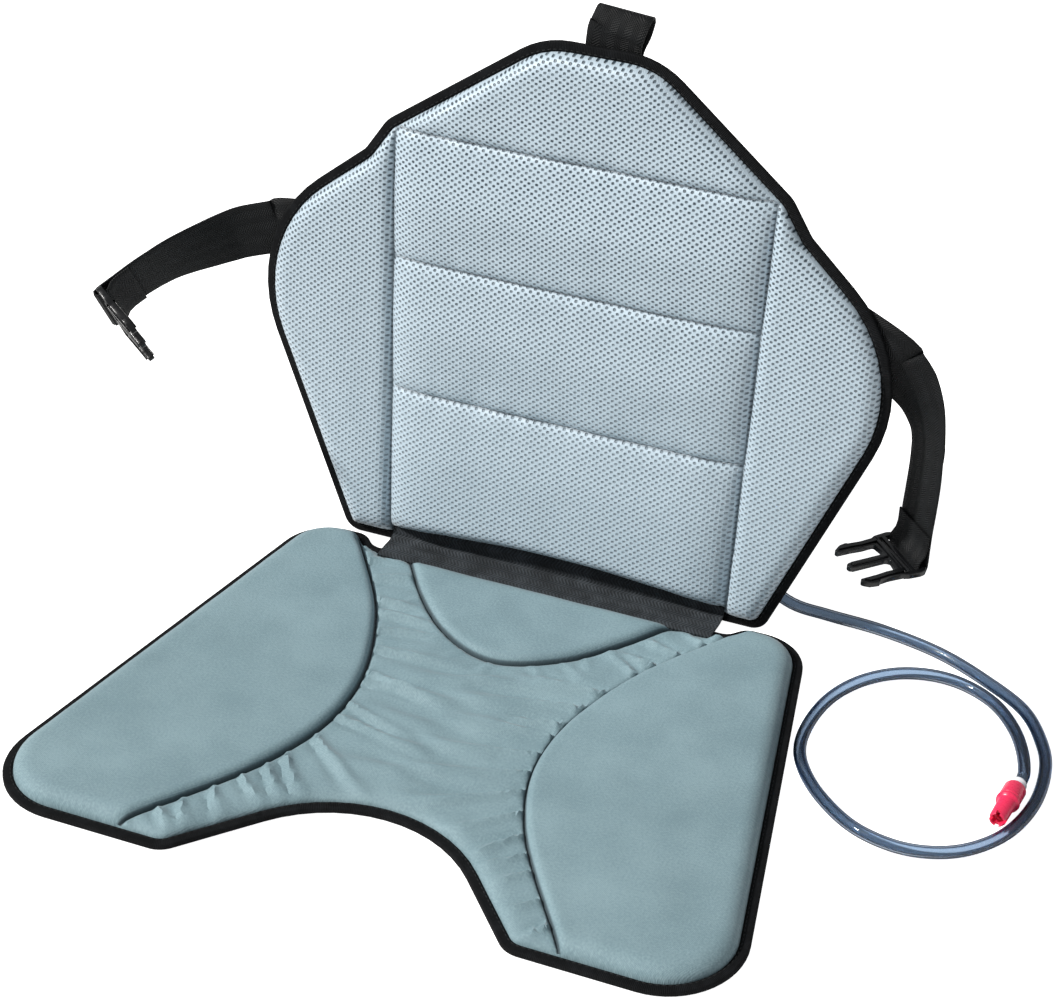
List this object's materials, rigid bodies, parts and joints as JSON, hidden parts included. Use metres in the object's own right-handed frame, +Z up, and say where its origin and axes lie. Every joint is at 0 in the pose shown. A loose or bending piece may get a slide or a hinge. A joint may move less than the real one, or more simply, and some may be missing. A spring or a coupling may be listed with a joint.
{
  "type": "kayak seat",
  "caption": "Padded clip-in kayak seat with an upright quilted mesh backrest, webbing side straps with side-release buckles, a top loop, and an air cushion hose with a mouth valve.",
  "frame": {"origin": "On the seat's flat underside, on the seat's plane of symmetry, 150 mm in front of the line where the backrest folds", "axes": "+Z up out of the seat, -Y towards the seat's front edge and the paddler's knees, +X to the sitter's left, the side the hose lies on"},
  "size_m": [0.6942, 0.4352, 0.405],
  "materials": {
    "seat_base_cover": "plain black cloth",
    "seat_foam_board": "closed-cell foam",
    "seat_left_thigh_pad": "closed-cell foam",
    "seat_right_thigh_pad": "closed-cell foam",
    "seat_tail_pad": "closed-cell foam",
    "seat_top_cover": "grey-green knitted cloth with a soft sheen",
    "seat_binding": "black grosgrain tape",
    "back_rear_cover": "plain black cloth",
    "back_stiffener": "plastic sheet",
    "back_left_wing_foam": "closed-cell foam",
    "back_right_wing_foam": "closed-cell foam",
    "back_crown_foam": "closed-cell foam",
    "back_quilt_foam": "closed-cell foam",
    "lumbar_bladder": "welded plastic film",
    "back_left_wing_panel": "silver spacer mesh",
    "back_centre_panel": "silver spacer mesh",
    "back_right_wing_panel": "silver spacer mesh",
    "back_binding": "black grosgrain tape",
    "hinge_webbing": "black woven webbing",
    "left_side_strap": "black woven webbing",
    "right_side_strap": "black woven webbing",
    "left_buckle": "moulded black acetal",
    "right_buckle": "moulded black acetal",
    "top_loop": "black woven webbing",
    "hose_gland": "moulded plastic",
    "air_hose": "clear soft PVC",
    "valve_stem": "white moulded plastic",
    "valve_mouthpiece": "red moulded plastic"
  },
  "bodies": {
    "seat": {"seat_base_cover": "seat_base_cover", "seat_foam_board": "seat_foam_board", "seat_left_thigh_pad": "seat_left_thigh_pad", "seat_right_thigh_pad": "seat_right_thigh_pad", "seat_tail_pad": "seat_tail_pad", "seat_top_cover": "seat_top_cover", "seat_binding": "seat_binding", "back_rear_cover": "back_rear_cover", "back_stiffener": "back_stiffener", "back_left_wing_foam": "back_left_wing_foam", "back_right_wing_foam": "back_right_wing_foam", "back_crown_foam": "back_crown_foam", "back_quilt_foam": "back_quilt_foam", "lumbar_bladder": "lumbar_bladder", "back_left_wing_panel": "back_left_wing_panel", "back_centre_panel": "back_centre_panel", "back_right_wing_panel": "back_right_wing_panel", "back_binding": "back_binding", "hinge_webbing": "hinge_webbing", "left_side_strap": "left_side_strap", "right_side_strap": "right_side_strap", "left_buckle": "left_buckle", "right_buckle": "right_buckle", "top_loop": "top_loop", "hose_gland": "hose_gland", "air_hose": "air_hose", "valve_stem": "valve_stem"},
    "mouthpiece": {"valve_mouthpiece": "valve_mouthpiece"}
  },
  "joints": [
    {"name": "mouthpiece", "type": "slide", "parent": "seat", "child": "mouthpiece", "axis": [0.0598, 0.9964, -0.0598], "range_m": [0, 0.004]}
  ]
}
